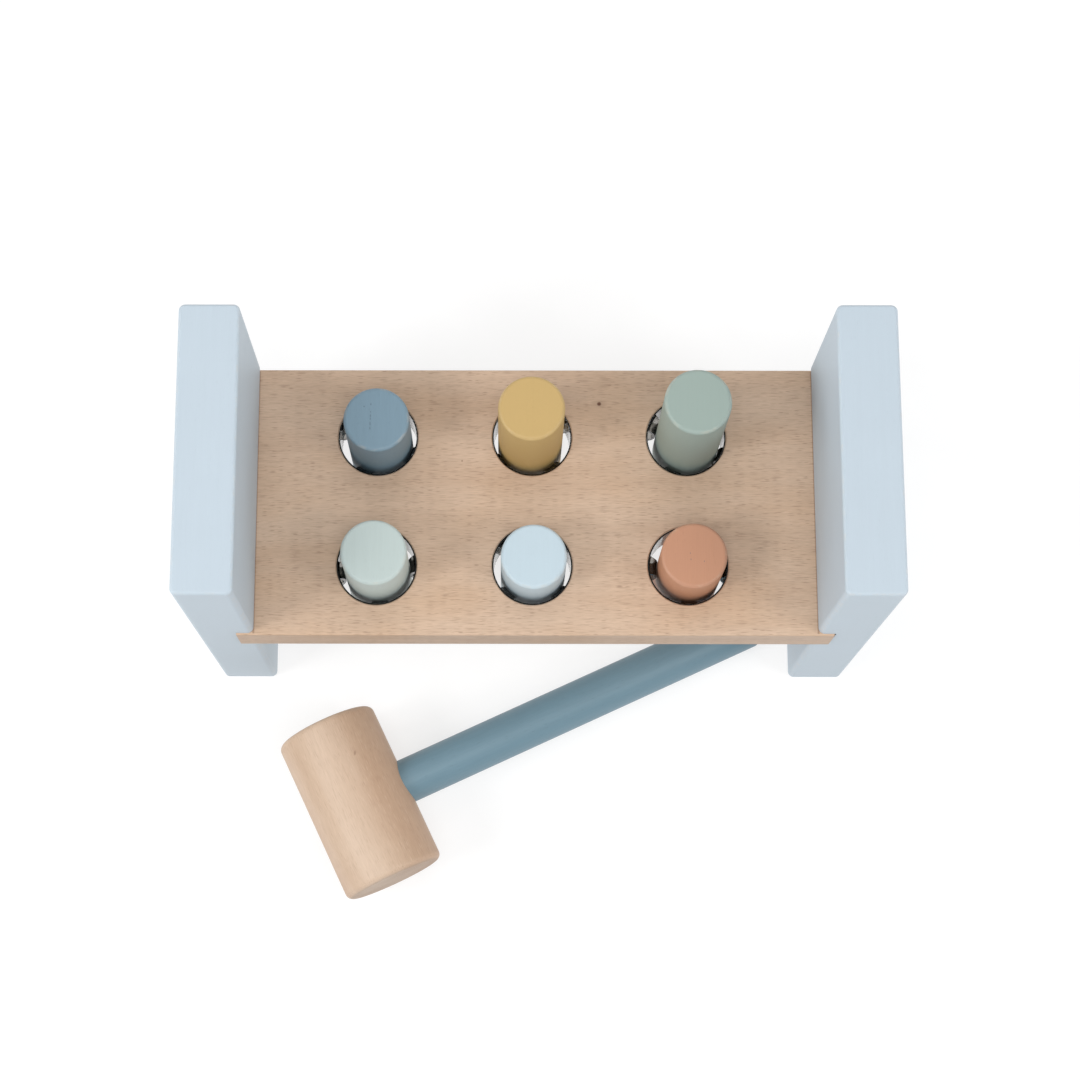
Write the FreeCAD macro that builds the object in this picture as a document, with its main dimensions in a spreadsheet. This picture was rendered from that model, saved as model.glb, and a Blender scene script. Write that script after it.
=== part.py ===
import FreeCAD, Part
import math
import os
import Sketcher

# A toy hammer bench with its hammer: two painted end boards, a drilled beech board between them, a plastic
# grip in each hole, a painted peg in each grip, and a wooden hammer lying on the floor with its handle
# under the board. +X runs along the bench, -Y is the front and +Z is up. The origin is on the floor, at
# the middle of the box that the bench and the hammer fill together.

V = FreeCAD.Vector

# The driving dimensions, in millimetres and degrees.
DIMENSIONS = {
    # bench
    "bench_length": 240.0,
    "bench_depth": 99.4,
    "bench_height": 150.0,
    "bench_middle_y": 43.8,
    # end boards
    "end_thickness": 20.5,
    "end_round": 2.2,
    "end_ease": 1.1,
    "groove_depth": 6.2,
    "groove_play": 0.05,
    # drilled board
    "board_length": 210.7,
    "board_depth": 97.8,
    "board_shift_x": -0.2,
    "board_shift_y": -1.5,
    "board_thickness": 16.3,
    "board_top": 86.6,
    "board_round": 0.8,
    "hole_radius": 14.3,
    "hole_pitch": 55.2,
    "hole_shift_x": -1.25,
    "row_y": 23.65,
    "hole_bevel": 0.35,
    # dowels that pin the board to the end boards
    "dowel_radius": 3.0,
    "dowel_length": 24.0,
    "dowel_in_end": 8.0,
    "dowel_spread": 30.0,
    "dowel_play": 0.05,
    "dowel_bevel": 0.6,
    # plastic grips
    "grip_outer": 14.25,
    "grip_inner": 13.75,
    "grip_inset": 0.3,
    "tab_angle": 26.0,
    "tab_wall": 1.0,
    "tab_bow": 9.4,
    "tab_play": 0.05,
    # pegs
    "peg_radius": 11.55,
    "peg_length": 64.0,
    "peg_round": 1.3,
    # hammer
    "head_radius": 19.15,
    "head_length": 63.75,
    "head_round": 2.5,
    "handle_radius": 8.45,
    "handle_reach": 166.0,
    "handle_inside": 12.0,
    "handle_round": 2.0,
    "handle_bevel": 0.5,
    "handle_play": 0.05,
    "hammer_x": -65.4,
    "hammer_y": -57.35,
    "hammer_turn": 25.3,
}

# Each peg: its colour, its column (-1 left, 0 middle, 1 right) and row (1 back, -1 front), how far its top
# stands above the board, how far it sits right of the hole's middle, and how its grip is turned.
PEGS = (
    ("blue", -1, 1, 22.1, 0.5, 65.0),
    ("yellow", 0, 1, 35.8, -0.6, 37.0),
    ("green", 1, 1, 43.2, 0.8, 65.0),
    ("mint", -1, -1, 20.6, 0.0, 5.0),
    ("light_blue", 0, -1, 14.7, 0.4, 46.0),
    ("terracotta", 1, -1, 16.4, 0.9, 88.0),
)
TABS_PER_GRIP = 4
EXTRA_CUT = 5.0
LEAST_CUT = 1.0

doc = FreeCAD.newDocument("hammer_bench")
dims = doc.addObject("Spreadsheet::Sheet", "dims")


def fill_sheet():
    """Writes every driving dimension to a row of its own: the name, and the number under that alias."""
    rows = dict(DIMENSIONS)
    for colour, column, row, rise, shift, turn in PEGS:
        rows[colour + "_rise"] = rise
        rows[colour + "_shift"] = shift
        rows[colour + "_turn"] = turn
    for line, (name, value) in enumerate(rows.items(), start=1):
        dims.set("A%d" % line, name)
        dims.set("B%d" % line, str(value))
        dims.setAlias("B%d" % line, name)
    doc.recompute()


def bind(thing, **expressions):
    """Binds properties to the sheet; a double underscore in a name stands for a dot."""
    for name, expression in expressions.items():
        thing.setExpression(name.replace("__", "."), expression)


def new_body(label):
    body = doc.addObject("PartDesign::Body", label)
    body.Label = label
    return body


def new_sketch(body, name, role, offset=None):
    """A sketch on one of the body's own origin planes, moved along the plane's normal by offset."""
    sketch = body.newObject("Sketcher::SketchObject", name)
    plane = next(f for f in body.Origin.OriginFeatures if f.Role == role)
    sketch.AttachmentSupport = (plane, "")
    sketch.MapMode = "FlatFace"
    if offset:
        sketch.setExpression("AttachmentOffset.Base.z", offset)
    return sketch


def constrain(sketch, expression, *arguments):
    """Adds a constraint whose value is bound to the sheet."""
    number = sketch.addConstraint(Sketcher.Constraint(*arguments))
    sketch.setExpression("Constraints[%d]" % number, expression)


def add_circle(sketch, radius, x=None, y=None, near=(0.0, 0.0)):
    """A circle at the sketch's origin or at the expressions x and y, and near them to start with."""
    circle = sketch.addGeometry(Part.Circle(V(near[0], near[1], 0), V(0, 0, 1), 1.0), False)
    if x is None:
        sketch.addConstraint(Sketcher.Constraint("Coincident", circle, 3, -1, 1))
    else:
        constrain(sketch, x, "DistanceX", -1, 1, circle, 3, near[0])
        constrain(sketch, y, "DistanceY", -1, 1, circle, 3, near[1])
    constrain(sketch, radius, "Radius", circle, 1.0)


def add_rectangle(sketch, left, bottom, right, top, near):
    """A rectangle whose four sides are expressions; near is its starting (left, bottom, right, top)."""
    x0, y0, x1, y1 = near
    corners = [V(x0, y0, 0), V(x1, y0, 0), V(x1, y1, 0), V(x0, y1, 0)]
    sides = [
        sketch.addGeometry(Part.LineSegment(corners[i], corners[(i + 1) % 4]), False) for i in range(4)
    ]
    for i in range(4):
        sketch.addConstraint(Sketcher.Constraint("Coincident", sides[i], 2, sides[(i + 1) % 4], 1))
        sketch.addConstraint(Sketcher.Constraint(("Horizontal", "Vertical")[i % 2], sides[i]))
    constrain(sketch, left, "DistanceX", -1, 1, sides[0], 1, x0)
    constrain(sketch, bottom, "DistanceY", -1, 1, sides[0], 1, y0)
    constrain(sketch, right, "DistanceX", -1, 1, sides[2], 1, x1)
    constrain(sketch, top, "DistanceY", -1, 1, sides[2], 1, y1)


def pad(body, sketch, length, both_ways=False):
    feature = body.newObject("PartDesign::Pad", "Pad")
    feature.Profile = sketch
    feature.Midplane = both_ways
    bind(feature, Length=length)
    doc.recompute()
    return feature


def pocket(body, sketch, length, both_ways=False, reverse=False):
    """A pocket that is checked to have cut something."""
    before = body.Shape.Volume
    feature = body.newObject("PartDesign::Pocket", "Pocket")
    feature.Profile = sketch
    feature.Midplane = both_ways
    feature.Reversed = reverse
    bind(feature, Length=length)
    doc.recompute()
    if before - body.Shape.Volume < LEAST_CUT:
        raise RuntimeError("%s: a pocket cuts nothing" % body.Label)
    return feature


def dress(body, kind, size, wanted):
    """A Fillet or Chamfer on the edges of the body's tip that wanted picks."""
    base = body.Tip
    names = ["Edge%d" % i for i, edge in enumerate(base.Shape.Edges, start=1) if wanted(edge)]
    feature = body.newObject("PartDesign::" + kind, kind)
    feature.Base = (base, names)
    bind(feature, **{"Radius" if kind == "Fillet" else "Size": size})
    doc.recompute()
    return feature


def is_round(edge, radius):
    """True for a whole circle of this radius."""
    curve = edge.Curve
    return edge.isClosed() and isinstance(curve, Part.Circle) and abs(curve.Radius - radius) < 1e-3


def make_end_board(label, side):
    """An end board: a thick plate with an open groove in its inner face.

    Its upright edges are rounded more than the edges of its top and its foot.
    """
    body = new_body(label)
    foot = new_sketch(body, "foot", "XY_Plane")
    half_t = dims.end_thickness / 2
    half_d = dims.bench_depth / 2
    add_rectangle(
        foot,
        "-dims.end_thickness / 2",
        "-dims.bench_depth / 2",
        "dims.end_thickness / 2",
        "dims.bench_depth / 2",
        (-half_t, -half_d, half_t, half_d),
    )
    pad(body, foot, "dims.bench_height")
    dress(body, "Fillet", "dims.end_round", lambda edge: edge.BoundBox.ZLength > dims.bench_height / 2)
    dress(body, "Fillet", "dims.end_ease", lambda edge: edge.BoundBox.ZLength < dims.end_ease)
    groove = new_sketch(body, "groove", "XZ_Plane")
    low = dims.board_top - dims.board_thickness
    add_rectangle(
        groove,
        "dims.end_thickness / 2 - dims.groove_depth",
        "dims.board_top - dims.board_thickness - dims.groove_play",
        "dims.end_thickness / 2 + %g" % EXTRA_CUT,
        "dims.board_top + dims.groove_play",
        (half_t - dims.groove_depth, low, half_t + EXTRA_CUT, dims.board_top),
    )
    pocket(body, groove, "dims.bench_depth + %g" % EXTRA_CUT, both_ways=True)
    dowel_holes = new_sketch(body, "dowel_holes", "YZ_Plane", "dims.end_thickness / 2 - dims.groove_depth")
    add_dowel_circles(dowel_holes, "dims.board_top - dims.board_thickness / 2", low)
    pocket(body, dowel_holes, "dims.dowel_in_end + dims.dowel_play")
    place = "%d * (dims.bench_length - dims.end_thickness) / 2" % side
    bind(body, Placement__Base__x=place, Placement__Base__y="dims.bench_middle_y")
    if side > 0:
        body.Placement.Rotation = FreeCAD.Rotation(V(0, 0, 1), 180)
    return body


def add_dowel_circles(sketch, height, near_height, shift="0"):
    """The two dowel holes, at the front and the back, in a sketch whose first axis is Y.

    shift is how far the body that holds the sketch sits off the bench's middle.
    """
    for way in (-1, 1):
        add_circle(
            sketch,
            "dims.dowel_radius + dims.dowel_play",
            "%d * dims.dowel_spread - %s" % (way, shift),
            height,
            (way * dims.dowel_spread, near_height),
        )


def make_top_board():
    """The drilled board: a plate with eased long edges, six peg holes and dowel holes in its ends."""
    body = new_body("top_board")
    outline = new_sketch(body, "outline", "XY_Plane")
    half_l = dims.board_length / 2
    half_d = dims.board_depth / 2
    add_rectangle(
        outline,
        "-dims.board_length / 2",
        "-dims.board_depth / 2",
        "dims.board_length / 2",
        "dims.board_depth / 2",
        (-half_l, -half_d, half_l, half_d),
    )
    pad(body, outline, "dims.board_thickness")
    dress(body, "Fillet", "dims.board_round", lambda edge: edge.BoundBox.XLength > dims.board_length / 2)
    holes = new_sketch(body, "peg_holes", "XY_Plane")
    for colour, column, row, *rest in PEGS:
        add_circle(
            holes,
            "dims.hole_radius",
            "%d * dims.hole_pitch + dims.hole_shift_x - dims.board_shift_x" % column,
            "%d * dims.row_y" % row,
            (column * dims.hole_pitch + dims.hole_shift_x, row * dims.row_y),
        )
    pocket(body, holes, "2 * dims.board_thickness + %g" % EXTRA_CUT, both_ways=True)
    dress(body, "Chamfer", "dims.hole_bevel", lambda edge: is_round(edge, dims.hole_radius))
    for end, reverse in ((-1, True), (1, False)):
        drilled = new_sketch(body, "dowel_holes", "YZ_Plane", "%d * dims.board_length / 2" % end)
        half_t = dims.board_thickness / 2
        add_dowel_circles(drilled, "dims.board_thickness / 2", half_t, "dims.board_shift_y")
        depth = "dims.dowel_length - dims.dowel_in_end + 2 * dims.dowel_play"
        pocket(body, drilled, depth, reverse=reverse)
    bind(
        body,
        Placement__Base__x="dims.board_shift_x",
        Placement__Base__y="dims.bench_middle_y + dims.board_shift_y",
        Placement__Base__z="dims.board_top - dims.board_thickness",
    )
    return body


def make_dowel(label, side, way):
    """A dowel along X, from the groove's floor in an end board into the end of the drilled board."""
    body = new_body(label)
    profile = new_sketch(body, "section", "YZ_Plane")
    add_circle(profile, "dims.dowel_radius")
    pad(body, profile, "dims.dowel_length")
    dress(body, "Chamfer", "dims.dowel_bevel", lambda edge: is_round(edge, dims.dowel_radius))
    tip = "dims.bench_length / 2 - dims.end_thickness + dims.groove_depth + dims.dowel_in_end"
    if side > 0:
        tip += " - dims.dowel_length"
    bind(
        body,
        Placement__Base__x="%d * (%s)" % (side, tip),
        Placement__Base__y="dims.bench_middle_y + %d * dims.dowel_spread" % way,
        Placement__Base__z="dims.board_top - dims.board_thickness / 2",
    )
    return body


def place_in_hole(thing, colour, column, row, height, shifted=True):
    """Puts a piece in its hole, on the peg's axis if shifted and else on the hole's own, at this height."""
    x = "%d * dims.hole_pitch + dims.hole_shift_x" % column
    if shifted:
        x += " + dims.%s_shift" % colour
    y = "dims.bench_middle_y + dims.board_shift_y + %d * dims.row_y" % row
    bind(thing, Placement__Base__x=x, Placement__Base__y=y, Placement__Base__z=height)


def make_grip(colour, column, row):
    """A grip: a thin sleeve in the hole, with bowed leaves inside it that bear on the peg all round.

    Each leaf is a sector of a ring-shaped shell whose crown just clears the peg. The sleeve's outside
    trims it.
    """
    bottom = "dims.board_top - dims.board_thickness + dims.grip_inset"
    tall = "dims.board_thickness - 2 * dims.grip_inset"
    outer = doc.addObject("Part::Cylinder", colour + "_sleeve_outside")
    bind(outer, Radius="dims.grip_outer", Height=tall)
    place_in_hole(outer, colour, column, row, bottom, shifted=False)
    inner = doc.addObject("Part::Cylinder", colour + "_sleeve_bore")
    bind(inner, Radius="dims.grip_inner", Height=tall)
    place_in_hole(inner, colour, column, row, bottom, shifted=False)
    sleeve = doc.addObject("Part::Cut", colour + "_sleeve")
    sleeve.Base = outer
    sleeve.Tool = inner
    leaves = []
    for number in range(TABS_PER_GRIP):
        shells = []
        for part, minor in (("front", "dims.tab_bow"), ("back", "dims.tab_bow - dims.tab_wall")):
            shell = doc.addObject("Part::Torus", "%s_leaf_%d_%s" % (colour, number, part))
            bind(
                shell,
                Radius1="dims.peg_radius + dims.tab_play + dims.tab_bow",
                Radius2=minor,
                Angle3="dims.tab_angle",
            )
            shell.Placement.Rotation = FreeCAD.Rotation(V(0, 0, 1), 1)
            turn = "dims.%s_turn + %g - dims.tab_angle / 2" % (colour, number * 360 / TABS_PER_GRIP)
            bind(shell, Placement__Rotation__Angle=turn)
            place_in_hole(shell, colour, column, row, "dims.board_top - dims.board_thickness / 2")
            shells.append(shell)
        leaf = doc.addObject("Part::Cut", "%s_leaf_%d" % (colour, number))
        leaf.Base, leaf.Tool = shells
        trimmed = doc.addObject("Part::Common", "%s_trimmed_leaf_%d" % (colour, number))
        trimmed.Base = leaf
        trimmed.Tool = outer
        leaves.append(trimmed)
    grip = doc.addObject("Part::MultiFuse", colour + "_grip")
    grip.Shapes = [sleeve] + leaves
    grip.Label = colour + "_peg_grip"
    return grip


def make_peg(colour, column, row):
    """A peg: a round bar with both ends rounded over."""
    body = new_body(colour + "_peg")
    section = new_sketch(body, "section", "XY_Plane")
    add_circle(section, "dims.peg_radius")
    pad(body, section, "dims.peg_length")
    dress(body, "Fillet", "dims.peg_round", lambda edge: is_round(edge, dims.peg_radius))
    place_in_hole(body, colour, column, row, "dims.board_top + dims.%s_rise - dims.peg_length" % colour)
    return body


def lay_down(body):
    """Lays a hammer piece on the floor: the head rests on its side and the handle on its far end.

    The pieces are drawn with the head's axis along Y and the handle along X. The dip is the slope at which
    the rounding at the handle's end just meets the floor.
    """
    reach = dims.handle_reach - dims.handle_round
    core = dims.handle_radius - dims.handle_round
    drop = dims.head_radius - dims.handle_round
    dip = math.asin(drop / math.hypot(reach, core)) - math.atan2(core, reach)
    turned = FreeCAD.Rotation(V(0, 0, 1), dims.hammer_turn)
    dipped = FreeCAD.Rotation(V(0, 1, 0), math.degrees(dip))
    body.Placement.Rotation = turned.multiply(dipped)
    bind(
        body,
        Placement__Base__x="dims.hammer_x",
        Placement__Base__y="dims.hammer_y",
        Placement__Base__z="dims.head_radius",
    )


def make_hammer_head():
    """The head: a round block with a blind bore across it for the handle."""
    body = new_body("hammer_head")
    face = new_sketch(body, "face", "XZ_Plane")
    add_circle(face, "dims.head_radius")
    pad(body, face, "dims.head_length", both_ways=True)
    dress(body, "Fillet", "dims.head_round", lambda edge: is_round(edge, dims.head_radius))
    bore = new_sketch(body, "bore", "YZ_Plane", "-(dims.handle_inside + dims.handle_play)")
    add_circle(bore, "dims.handle_radius + dims.handle_play")
    pocket(body, bore, "dims.handle_inside + dims.head_radius + %g" % EXTRA_CUT, reverse=True)
    lay_down(body)
    return body


def make_hammer_handle():
    """The handle: a dowel glued in the head, with its free end rounded over."""
    body = new_body("hammer_handle")
    section = new_sketch(body, "section", "YZ_Plane", "-dims.handle_inside")
    add_circle(section, "dims.handle_radius")
    pad(body, section, "dims.handle_inside + dims.handle_reach")
    far = dims.handle_reach / 2
    dress(
        body,
        "Fillet",
        "dims.handle_round",
        lambda edge: is_round(edge, dims.handle_radius) and edge.CenterOfMass.x > far,
    )
    dress(
        body,
        "Chamfer",
        "dims.handle_bevel",
        lambda edge: is_round(edge, dims.handle_radius) and edge.CenterOfMass.x < 0,
    )
    lay_down(body)
    return body


def check(pieces):
    """Stops if anything in the document failed or a piece isn't one valid solid."""
    for thing in doc.Objects:
        if "Invalid" in thing.State or "Error" in thing.State:
            raise RuntimeError("%s failed: %s" % (thing.Label, thing.State))
    for piece in pieces:
        shape = piece.Shape
        if shape.isNull() or not shape.isValid() or len(shape.Solids) != 1:
            raise RuntimeError("%s isn't one valid solid" % piece.Label)


def main():
    fill_sheet()
    pieces = [make_end_board("left_end_board", -1), make_end_board("right_end_board", 1), make_top_board()]
    for side_name, side in (("left", -1), ("right", 1)):
        for way_name, way in (("front", -1), ("rear", 1)):
            pieces.append(make_dowel("%s_%s_dowel" % (side_name, way_name), side, way))
    for colour, column, row, *rest in PEGS:
        pieces.append(make_grip(colour, column, row))
        pieces.append(make_peg(colour, column, row))
    pieces += [make_hammer_head(), make_hammer_handle()]
    doc.recompute()
    check(pieces)
    os.makedirs("parts", exist_ok=True)
    for piece in pieces:
        piece.Shape.exportStep(os.path.join("parts", piece.Label + ".step"))
        box = piece.Shape.BoundBox
        print(
            "%-20s x %7.2f %7.2f  y %7.2f %7.2f  z %7.2f %7.2f  %9.1f mm3"
            % (piece.Label, box.XMin, box.XMax, box.YMin, box.YMax, box.ZMin, box.ZMax, piece.Shape.Volume)
        )


main()
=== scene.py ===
"""Toy hammer bench: wood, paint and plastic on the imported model, with its floor, light and camera."""

import bpy
import numpy as np
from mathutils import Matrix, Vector


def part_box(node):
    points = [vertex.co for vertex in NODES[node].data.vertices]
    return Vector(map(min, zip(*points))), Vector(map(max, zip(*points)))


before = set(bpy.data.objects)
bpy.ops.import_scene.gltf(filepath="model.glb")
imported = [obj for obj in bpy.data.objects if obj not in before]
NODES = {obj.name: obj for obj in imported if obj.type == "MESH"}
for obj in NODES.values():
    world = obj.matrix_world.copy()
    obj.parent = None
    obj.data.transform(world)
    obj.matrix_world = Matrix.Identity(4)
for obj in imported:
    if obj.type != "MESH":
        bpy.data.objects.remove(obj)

MM = 0.001
X = Vector((1, 0, 0))
Y = Vector((0, 1, 0))
Z = Vector((0, 0, 1))
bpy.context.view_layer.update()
# The point all softboxes face, metres.
LIT_POINT = Vector((0, 0, 0.06))
# The floor reaches this far each way, and lies this far under the feet so that no faces share a plane.
FLOOR_REACH = 8.0
FLOOR_DROP = 0.15 * MM
# How far the edges of the bare wood are soft, how far it starts inside the groove's two open ends, and
# how far it reaches above and below the drilled board.
BARE_SOFT = 0.03 * MM
BARE_INSET = 0.06 * MM
BARE_PLAY = 0.08 * MM
# Tones of knots, of the fine dark line at the seams, of bare groove wood that is also painted shade, of
# worn paint and of a pore in blue paint.
KNOT_TONE = (104, 68, 48)
SEAM_LINE_TONE = (112, 74, 56)
BARE_AND_SHADE_TONE = (70, 54, 44)
WORN_TONE = (214, 196, 172)
PORE_TONE = (74, 92, 104)


def tone(red, green, blue):
    """A display colour, 0 to 255 a channel, as a linear colour with alpha."""
    linear = []
    for channel in (red, green, blue):
        level = channel / 255
        linear.append(level / 12.92 if level <= 0.04045 else ((level + 0.055) / 1.055) ** 2.4)
    return (*linear, 1.0)


class Graph:
    """The node tree of one material. Values are numbers, tuples or the sockets of other nodes."""

    def __init__(self, name):
        self.material = bpy.data.materials.new(name)
        self.material.use_nodes = True
        self.nodes = self.material.node_tree.nodes
        self.links = self.material.node_tree.links
        self.shader = self.nodes["Principled BSDF"]
        coordinates = self.nodes.new("ShaderNodeTexCoord")
        self.point = coordinates.outputs["Object"]
        self.normal = coordinates.outputs["Normal"]

    def feed(self, socket, value):
        if isinstance(value, bpy.types.NodeSocket):
            self.links.new(value, socket)
        elif socket.type == "VECTOR":
            socket.default_value = tuple(value)[:3]
        else:
            socket.default_value = value

    def math(self, operation, *values):
        node = self.nodes.new("ShaderNodeMath")
        node.operation = operation
        for socket, value in zip(node.inputs, values):
            self.feed(socket, value)
        return node.outputs[0]

    def add(self, *values):
        total = values[0]
        for value in values[1:]:
            total = self.math("ADD", total, value)
        return total

    def times(self, *values):
        product = values[0]
        for value in values[1:]:
            product = self.math("MULTIPLY", product, value)
        return product

    def dot(self, vector, direction):
        node = self.nodes.new("ShaderNodeVectorMath")
        node.operation = "DOT_PRODUCT"
        self.feed(node.inputs[0], vector)
        self.feed(node.inputs[1], tuple(direction))
        return node.outputs["Value"]

    def combine(self, x, y, z):
        node = self.nodes.new("ShaderNodeCombineXYZ")
        for socket, value in zip(node.inputs, (x, y, z)):
            self.feed(socket, value)
        return node.outputs[0]

    def split(self, vector):
        node = self.nodes.new("ShaderNodeSeparateXYZ")
        self.feed(node.inputs[0], vector)
        return node.outputs

    def noise(self, vector, detail=2.0, roughness=0.5):
        """Noise from 0 to 1 about 0.5, one feature in each unit of the vector."""
        node = self.nodes.new("ShaderNodeTexNoise")
        node.inputs["Scale"].default_value = 1.0
        node.inputs["Detail"].default_value = detail
        node.inputs["Roughness"].default_value = roughness
        self.feed(node.inputs["Vector"], vector)
        return node.outputs["Fac"]

    def cells(self, vector):
        """Distance to the nearest of random points, and three random numbers of that point."""
        node = self.nodes.new("ShaderNodeTexVoronoi")
        node.inputs["Scale"].default_value = 1.0
        self.feed(node.inputs["Vector"], vector)
        return node.outputs["Distance"], self.split(node.outputs["Color"])

    def span(self, value, low, high, start=0.0, end=1.0):
        """A smooth step from start, where value is low, to end, where it is high."""
        node = self.nodes.new("ShaderNodeMapRange")
        node.interpolation_type = "SMOOTHSTEP"
        for socket, number in zip(node.inputs, (value, low, high, start, end)):
            self.feed(socket, number)
        return node.outputs["Result"]

    def mix(self, amount, first, second):
        node = self.nodes.new("ShaderNodeMix")
        node.data_type = "RGBA"
        node.clamp_factor = True
        self.feed(node.inputs["Factor"], amount)
        self.feed(node.inputs[6], first)
        self.feed(node.inputs[7], second)
        return node.outputs[2]

    def shade(self, colour, factor):
        """The colour times a number."""
        node = self.nodes.new("ShaderNodeVectorMath")
        node.operation = "SCALE"
        self.feed(node.inputs[0], colour)
        self.feed(node.inputs["Scale"], factor)
        return node.outputs[0]

    def relief(self, *layers):
        """Bumps from (height from 0 to 1, depth in metres) pairs, on the shader's normal."""
        normal = None
        for height, depth in layers:
            node = self.nodes.new("ShaderNodeBump")
            node.inputs["Strength"].default_value = 1.0
            node.inputs["Distance"].default_value = depth
            self.feed(node.inputs["Height"], height)
            if normal is not None:
                self.feed(node.inputs["Normal"], normal)
            normal = node.outputs[0]
        self.feed(self.shader.inputs["Normal"], normal)

    def along(self, grain, seed):
        """Metres along the grain, and in the two directions across it, shifted by the seed."""
        across = grain.cross(Y if abs(grain.y) < 0.5 else X).normalized()
        other = grain.cross(across)
        return (
            self.add(self.dot(self.point, grain), 0.37 * seed),
            self.add(self.dot(self.point, across), 0.11 * seed),
            self.add(self.dot(self.point, other), 0.05 * seed),
        )

    def stretched(self, parts, length, width):
        """The grain's coordinates in units of length along it and width across it."""
        length_part, across, other = parts
        return self.combine(
            self.times(length_part, 1 / length),
            self.times(across, 1 / width),
            self.times(other, 1 / width),
        )

    def spot(self, centre, radii, wobble):
        """1 at a point and 0 outside an ellipsoid about it, with an uneven outline."""
        x, y, z = self.split(self.point)
        squares = []
        for coordinate, middle, radius in zip((x, y, z), centre, radii):
            offset = self.times(self.add(coordinate, -middle), 1 / radius)
            squares.append(self.times(offset, offset))
        return self.span(self.add(*squares, wobble), 1.5, 0.35)

    def within(self, low, high):
        """1 inside a box and 0 outside it, with edges that are BARE_SOFT wide."""
        inside = 1.0
        for coordinate, start, end in zip(self.split(self.point), low, high):
            inside = self.times(inside, self.span(coordinate, start - BARE_SOFT, start))
            inside = self.times(inside, self.span(coordinate, end + BARE_SOFT, end))
        return inside

    def rounded(self, axis=None):
        """1 where the surface turns an edge: between faces of a box, or at the rims of a bar."""
        if axis is None:
            x, y, z = self.split(self.normal)
            sizes = [self.math("ABSOLUTE", part) for part in (x, y, z)]
            largest = self.math("MAXIMUM", self.math("MAXIMUM", sizes[0], sizes[1]), sizes[2])
            return self.span(largest, 0.995, 0.86)
        lean = self.math("ABSOLUTE", self.dot(self.normal, axis))
        return self.times(self.span(lean, 0.1, 0.45), self.span(lean, 0.995, 0.88))


# Kinds of fleck in beech: length and width in millimetres, share of places without one, depth of tone.
FLECKS = ((6.8, 0.42, 0.42, 0.36), (4.4, 0.36, 0.36, 0.42), (2.8, 0.42, 0.8, 0.5))


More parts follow.
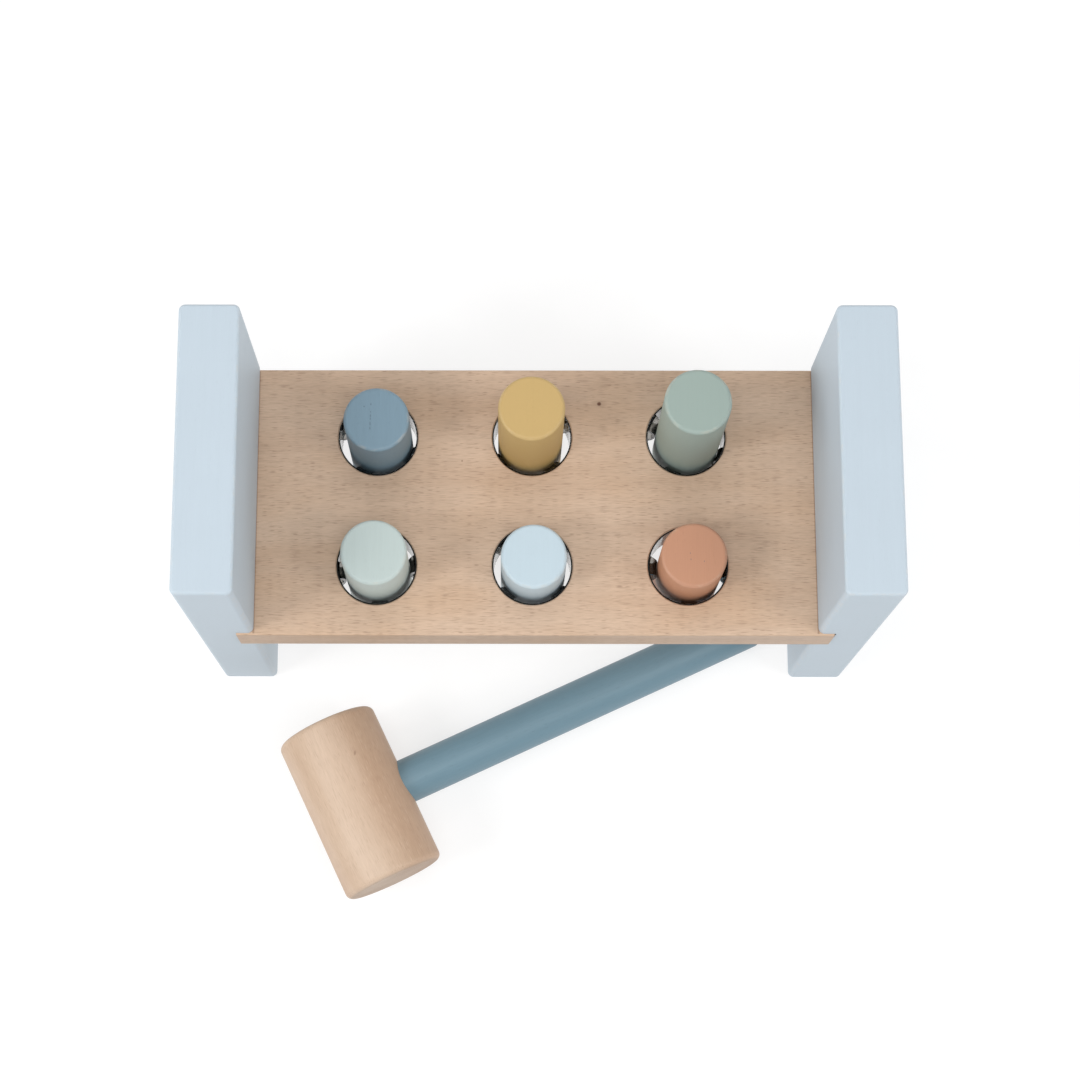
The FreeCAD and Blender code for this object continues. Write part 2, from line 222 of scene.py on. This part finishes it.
def wood(
    name,
    grain,
    colours,
    seed,
    fleck=1.0,
    fibres=1.0,
    gloss=0.5,
    axis=None,
    marks=(),
    shaded_faces=None,
    shaded_side=None,
    seams=(),
):
    """Clear-lacquered beech: slow figure, fine fibre, dark spindle flecks, light flecks that are painted
    highlights, and marks.

    colours holds the pale, the mid, the warmer and the fleck tone. axis is the axis of a round piece.
    Each mark is a centre, three radii and a depth of tone. shaded_faces is a direction, and the tone of
    the faces turned that way: painted shade. shaded_side is a direction, and where along it the painted
    shade, in the warmer tone, starts and is full.
    seams are the places along the grain where a fine dark line runs across the top face.
    """
    graph = Graph(name)
    parts = graph.along(grain, seed)
    drift = graph.noise(graph.stretched(parts, 60 * MM, 26 * MM), 1.0)
    bent = (
        parts[0],
        graph.add(parts[1], graph.times(graph.add(drift, -0.5), 5 * MM)),
        graph.add(parts[2], graph.times(graph.add(drift, -0.5), 3 * MM)),
    )
    figure = graph.noise(graph.stretched(bent, 110 * MM, 15 * MM), 3.0, 0.55)
    hue = graph.noise(graph.stretched(bent, 45 * MM, 22 * MM), 2.0)
    rings = graph.noise(graph.stretched(bent, 70 * MM, 2.6 * MM), 2.0, 0.6)
    fibre = graph.noise(graph.stretched(bent, 5 * MM, 0.3 * MM), 3.0, 0.65)
    colour = graph.mix(graph.span(figure, 0.3, 0.7), colours[1], colours[0])
    colour = graph.mix(graph.span(hue, 0.42, 0.78, 0.0, 0.6), colour, colours[2])
    lights = graph.add(
        0.985,
        graph.times(graph.add(rings, -0.5), 0.1 * fibres),
        graph.times(graph.add(fibre, -0.5), 0.42 * fibres),
    )
    # Painted shade: the tone turns darker and warmer towards one side of the piece.
    if shaded_side is not None:
        direction, start, full = shaded_side
        place = graph.dot(graph.point, direction)
        colour = graph.mix(graph.span(place, start, full, 0.0, 0.8), colour, colours[2])
    colour = graph.shade(colour, lights)
    dashes = 0.0
    for length, width, share, depth in FLECKS:
        distance, chances = graph.cells(graph.stretched(bent, length * MM, width * MM))
        layer = graph.times(
            graph.span(distance, 0.5, 0.1), graph.span(chances[0], share, 0.95), depth * fleck
        )
        dashes = graph.math("MAXIMUM", dashes, layer)
    colour = graph.mix(dashes, colour, colours[3])
    # Painted highlights: light flecks paler than the wood's pale tone.
    far, odds = graph.cells(graph.stretched(bent, 3.6 * MM, 0.42 * MM))
    glints = graph.times(graph.span(far, 0.45, 0.1), graph.span(odds[1], 0.3, 0.9), 0.36)
    colour = graph.mix(glints, colour, graph.shade(colours[0], 1.1))
    hollows = dashes
    for centre, radii, depth in marks:
        wobble = graph.times(graph.noise(graph.shade(graph.point, 1600.0)), 0.5)
        mark = graph.times(graph.spot(centre, radii, wobble), depth)
        colour = graph.mix(mark, colour, tone(*KNOT_TONE))
        hollows = graph.add(hollows, mark)
    for seam in seams:
        offset = graph.math("ABSOLUTE", graph.add(graph.dot(graph.point, grain), -seam))
        upward = graph.span(graph.dot(graph.normal, Z), 0.97, 0.995)
        line = graph.times(graph.span(offset, 0.5 * MM, 0.15 * MM), upward, 0.5)
        colour = graph.mix(line, colour, tone(*SEAM_LINE_TONE))
    # Painted shade: the faces turned this way are darkened.
    if shaded_faces is not None:
        direction, level = shaded_faces
        facing = graph.math("ABSOLUTE", graph.dot(graph.normal, direction))
        colour = graph.shade(colour, graph.span(facing, 0.75, 0.97, 1.0, level))
    # Painted highlight: the rounded edges are a little lighter.
    edge = graph.rounded(axis)
    colour = graph.shade(colour, graph.add(1.0, graph.times(edge, 0.035)))
    graph.feed(graph.shader.inputs["Base Color"], colour)
    uneven = graph.noise(graph.shade(graph.point, 70.0), 2.0)
    rough = graph.add(
        gloss - 0.06, graph.times(uneven, 0.1), graph.times(dashes, 0.12), graph.times(edge, -0.04)
    )
    graph.feed(graph.shader.inputs["Roughness"], rough)
    graph.shader.inputs["Specular IOR Level"].default_value = 0.42
    sunk = graph.math("SUBTRACT", 1.0, hollows)
    graph.relief((sunk, 0.035 * MM), (fibre, 0.05 * MM), (rings, 0.04 * MM))
    return graph.material


def paint(name, colour, grain, seed, axis=None, lines=1.0, pores=(), wear=0.35, gloss=0.5, bare=None):
    """Satin paint over wood: the grain shows through faintly, and the edges are a little worn and paler,
    partly as a painted highlight.

    axis is the axis of a round bar and None on a board. Each pore is a centre and three radii. bare is
    the low and the high corner of a box in which the wood was never painted, and is painted very dark,
    partly as shade.
    """
    graph = Graph(name)
    parts = graph.along(grain, seed)
    cloud = graph.noise(graph.shade(graph.point, 55.0), 3.0)
    streaks = graph.noise(graph.stretched(parts, 38 * MM, 1.5 * MM), 3.0, 0.6)
    fine = graph.noise(graph.stretched(parts, 9 * MM, 0.4 * MM), 2.0, 0.6)
    peel = graph.noise(graph.shade(graph.point, 900.0), 1.0)
    distance, chances = graph.cells(graph.stretched(parts, 2.6 * MM, 0.55 * MM))
    dents = graph.times(graph.span(distance, 0.36, 0.12), graph.span(chances[0], 0.72, 0.92))
    lights = graph.add(
        1.0,
        graph.times(graph.add(cloud, -0.5), 0.05),
        graph.times(graph.add(streaks, -0.5), 0.07 * lines),
        graph.times(graph.add(fine, -0.5), 0.05 * lines),
        graph.times(dents, -0.05 * lines),
    )
    shown = graph.shade(colour, lights)
    edge = graph.rounded(axis)
    rub = graph.noise(graph.shade(graph.point, 260.0), 3.0, 0.6)
    worn = graph.times(edge, graph.span(rub, 0.47, 0.68), wear)
    # Rounded edges go paler: partly thinner paint, partly a painted highlight.
    pale = tuple(min(1.0, 0.72 * channel + 0.25) for channel in colour[:3]) + (1.0,)
    shown = graph.mix(graph.times(edge, 0.08), shown, pale)
    shown = graph.mix(worn, shown, tone(*WORN_TONE))
    holes = dents
    for centre, radii in pores:
        wobble = graph.times(graph.noise(graph.shade(graph.point, 2400.0)), 0.6)
        pore = graph.spot(centre, radii, wobble)
        shown = graph.mix(graph.times(pore, 0.6), shown, tone(*PORE_TONE))
        holes = graph.add(holes, pore)
    if bare is not None:
        # The bare groove wood is painted very dark, partly as shade in the narrow gap.
        shown = graph.mix(graph.within(*bare), shown, tone(*BARE_AND_SHADE_TONE))
    graph.feed(graph.shader.inputs["Base Color"], shown)
    rough = graph.add(
        gloss - 0.05, graph.times(cloud, 0.08), graph.times(peel, 0.05), graph.times(worn, 0.25)
    )
    graph.feed(graph.shader.inputs["Roughness"], rough)
    graph.shader.inputs["Specular IOR Level"].default_value = 0.45
    filled = graph.math("SUBTRACT", 1.0, holes)
    graph.relief(
        (filled, 0.02 * MM * lines),
        (fine, 0.03 * MM * lines),
        (streaks, 0.06 * MM * lines),
        (peel, 0.012 * MM),
    )
    return graph.material


def clear_plastic(name, seed):
    """Smoky clear plastic with flow lines and light scuffs: pale through a wall, dark along one."""
    graph = Graph(name)
    parts = graph.along(Z, seed)
    flow = graph.noise(graph.stretched(parts, 22 * MM, 2.2 * MM), 2.0)
    scuff = graph.noise(graph.shade(graph.point, 1300.0), 2.0, 0.6)
    colour = graph.mix(flow, tone(196, 194, 190), tone(226, 226, 224))
    graph.feed(graph.shader.inputs["Base Color"], colour)
    rough = graph.add(0.05, graph.times(graph.span(scuff, 0.5, 0.75), 0.16), graph.times(flow, 0.05))
    graph.feed(graph.shader.inputs["Roughness"], rough)
    graph.shader.inputs["Transmission Weight"].default_value = 1.0
    graph.shader.inputs["IOR"].default_value = 1.49
    smoke = graph.nodes.new("ShaderNodeVolumeAbsorption")
    smoke.inputs["Color"].default_value = tone(150, 138, 122)
    smoke.inputs["Density"].default_value = 420.0
    graph.links.new(smoke.outputs[0], graph.nodes["Material Output"].inputs["Volume"])
    graph.relief((flow, 0.12 * MM), (scuff, 0.008 * MM))
    return graph.material


def set_material(node, material):
    slots = NODES[node].data.materials
    if len(slots) == 0:
        slots.append(material)
    for index in range(len(slots)):
        slots[index] = material


def bar_axis(node):
    """The long axis of a bar, from the spread of its vertices, pointing towards +X."""
    points = np.array([vertex.co for vertex in NODES[node].data.vertices], float)
    values, directions = np.linalg.eigh(np.cov(points.T))
    axis = Vector(directions[:, int(np.argmax(values))])
    return axis if axis.x > 0 else -axis


def top_centre(node):
    low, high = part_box(node)
    return Vector(((low.x + high.x) / 2, (low.y + high.y) / 2, high.z))


def finish_board():
    """The drilled board's beech with its two pin knots, and the dowels that pin it."""
    low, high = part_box("top_board")
    knot = (low.x + 128.45 * MM, high.y - 12.8 * MM, high.z)
    dot = (low.x + 79.25 * MM, high.y - 34.1 * MM, high.z)
    beech = (tone(206, 179, 155), tone(195, 166, 141), tone(196, 163, 133), tone(118, 86, 66))
    seams = (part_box("left_end_board")[1].x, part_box("right_end_board")[0].x)
    marks = (
        (knot, (0.85 * MM, 0.8 * MM, 1.2 * MM), 1.0),
        (knot, (3.2 * MM, 1.5 * MM, 1.5 * MM), 0.16),
        (dot, (0.35 * MM, 0.45 * MM, 1.2 * MM), 0.5),
    )
    set_material("top_board", wood("board_beech", X, beech, 3, marks=marks, shaded_faces=(Y, 0.86), seams=seams))
    for seed, side in enumerate(("left_front", "left_rear", "right_front", "right_rear")):
        set_material(f"{side}_dowel", wood(f"dowel_beech_{side}", X, beech, 11 + seed))


def finish_end_boards():
    """The paint, which stops at the groove that the drilled board sits in, where the bare wood is painted
    very dark, partly as shade.
    """
    blue = tone(184, 197, 207)
    board_low, board_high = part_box("top_board")
    for seed, side, way in ((5, "left", -1), (8, "right", 1)):
        low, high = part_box(f"{side}_end_board")
        middle = (low.x + high.x) / 2
        board_end = board_high.x if way > 0 else board_low.x
        groove_low = (min(middle, board_end), low.y + BARE_INSET, board_low.z - BARE_PLAY)
        groove_high = (max(middle, board_end), high.y - BARE_INSET, board_high.z + BARE_PLAY)
        bare = (groove_low, groove_high)
        material = paint(f"end_paint_{side}", blue, Y, seed, wear=0.15, lines=0.6, bare=bare)
        set_material(f"{side}_end_board", material)


# Each peg's colour, and how strongly the grain shows through its paint.
PEGS = {
    "blue": (tone(117, 142, 157), 1.5),
    "yellow": (tone(190, 160, 103), 0.5),
    "green": (tone(147, 163, 156), 0.5),
    "mint": (tone(184, 197, 194), 1.0),
    "light_blue": (tone(187, 204, 213), 0.5),
    "terracotta": (tone(187, 136, 107), 1.1),
}


def finish_pegs():
    """Each peg's paint and its grip's plastic. The tops of two pegs show pores through the paint."""
    for seed, (colour, (body_tone, lines)) in enumerate(PEGS.items()):
        node = f"{colour}_peg"
        centre = top_centre(node)
        pores = []
        if colour == "blue":
            for step, reach in ((5.4, 0.5), (2.6, 0.3), (1.2, 0.7), (0.1, 0.5), (-1.6, 0.9), (-3.3, 0.6)):
                place = centre + Vector((-2.1 * MM + 0.03 * step * MM, step * MM, 0))
                pores.append((place, (0.24 * MM, reach * MM, 0.6 * MM)))
            pores.append((centre + Vector((-4.3 * MM, 4.6 * MM, 0)), (0.3 * MM, 0.3 * MM, 0.6 * MM)))
        if colour == "terracotta":
            for dx, dy in ((-1.4, 0.7), (-1.2, -1.5), (3.4, -2.2)):
                place = centre + Vector((dx * MM, dy * MM, 0))
                pores.append((place, (0.18 * MM, 0.35 * MM, 0.5 * MM)))
        material = paint(
            f"{colour}_paint", body_tone, Y, 20 + seed, axis=Z, lines=lines, pores=pores, wear=0.18
        )
        set_material(node, material)
        set_material(f"{colour}_peg_grip", clear_plastic(f"grip_plastic_{colour}", 40 + seed))


def finish_hammer():
    """The handle's paint, and the head's beech, which is painted darker and warmer towards the handle as
    shade.
    """
    axis = bar_axis("hammer_handle")
    steel_blue = tone(108, 137, 151)
    handle = paint("handle_paint", steel_blue, axis, 31, axis=axis, lines=1.8, wear=0.3, gloss=0.4)
    set_material("hammer_handle", handle)
    head_axis = Z.cross(axis).normalized()
    low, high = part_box("hammer_head")
    beech = (tone(205, 181, 159), tone(194, 168, 144), tone(184, 152, 126), tone(134, 99, 78))
    centre = (low + high) / 2
    speck = centre + 15 * MM * head_axis + 6 * MM * axis + 18 * MM * Z
    marks = ((speck, (0.5 * MM, 1.1 * MM, 3 * MM), 0.4),)
    across = centre.dot(axis)
    material = wood(
        "head_beech",
        head_axis,
        beech,
        17,
        fleck=0.5,
        fibres=0.6,
        gloss=0.52,
        axis=head_axis,
        marks=marks,
        shaded_faces=(head_axis, 0.84),
        shaded_side=(axis, across - 6 * MM, across + 17 * MM),
    )
    set_material("hammer_head", material)


def make_floor():
    """Plain pale paper that glows enough to come out white, as in the photo."""
    ways = ((-1, -1), (1, -1), (1, 1), (-1, 1))
    corners = [(x * FLOOR_REACH, y * FLOOR_REACH, -FLOOR_DROP) for x, y in ways]
    mesh = bpy.data.meshes.new("floor")
    mesh.from_pydata(corners, [], [(0, 1, 2, 3)])
    floor = bpy.data.objects.new("floor", mesh)
    bpy.context.scene.collection.objects.link(floor)
    graph = Graph("floor_paper")
    mottle = graph.noise(graph.shade(graph.point, 40.0), 2.0)
    grey = graph.mix(mottle, tone(150, 150, 150), tone(160, 160, 160))
    graph.feed(graph.shader.inputs["Base Color"], grey)
    graph.shader.inputs["Roughness"].default_value = 0.9
    graph.shader.inputs["Specular IOR Level"].default_value = 0.1
    graph.shader.inputs["Emission Color"].default_value = (1.0, 1.0, 1.0, 1.0)
    graph.shader.inputs["Emission Strength"].default_value = 0.69
    floor.data.materials.append(graph.material)


def add_area(name, place, size, power):
    """A round softbox that faces the middle of the bench."""
    light = bpy.data.lights.new(name, "AREA")
    light.shape = "DISK"
    light.size = size
    light.energy = power
    lamp = bpy.data.objects.new(name, light)
    lamp.location = place
    lamp.rotation_euler = (LIT_POINT - Vector(place)).to_track_quat("-Z", "Y").to_euler()
    bpy.context.scene.collection.objects.link(lamp)


def light_scene():
    """A white surround with softboxes at both sides, overhead and behind, and two low fills."""
    scene = bpy.context.scene
    world = bpy.data.worlds.new("studio")
    world.use_nodes = True
    world.node_tree.nodes["Background"].inputs["Color"].default_value = (1.0, 1.0, 1.0, 1.0)
    world.node_tree.nodes["Background"].inputs["Strength"].default_value = 0.44
    scene.world = world
    add_area("left_softbox", (-0.85, -0.35, 0.85), 0.35, 4.4)
    add_area("right_softbox", (0.85, -0.35, 0.85), 0.35, 3.1)
    add_area("top_softbox", (0.0, -0.3, 1.15), 0.6, 3.7)
    add_area("back_softbox", (0.0, 0.6, 1.0), 0.5, 1.3)
    add_area("low_left_fill", (-1.0, 0.0, 0.45), 0.5, 2.1)
    add_area("low_right_fill", (1.0, 0.0, 0.45), 0.5, 1.15)
    scene.view_settings.view_transform = "Standard"
    scene.view_settings.look = "None"


def place_camera():
    """The camera that was fitted to the photo with the sizes of the bench locked."""
    lens = bpy.data.cameras.new("camera")
    lens.sensor_width = 36.0
    lens.lens = 74.0318
    lens.shift_x = 0.037037
    lens.shift_y = 0.055556
    lens.clip_start = 0.01
    camera = bpy.data.objects.new("camera", lens)
    camera.location = (-0.01175, -0.15944, 0.85328)
    camera.rotation_euler = (0.21271, 0.00088, 0.00146)
    bpy.context.scene.collection.objects.link(camera)
    bpy.context.scene.camera = camera


place_camera()
light_scene()
make_floor()
finish_board()
finish_end_boards()
finish_pegs()
finish_hammer()
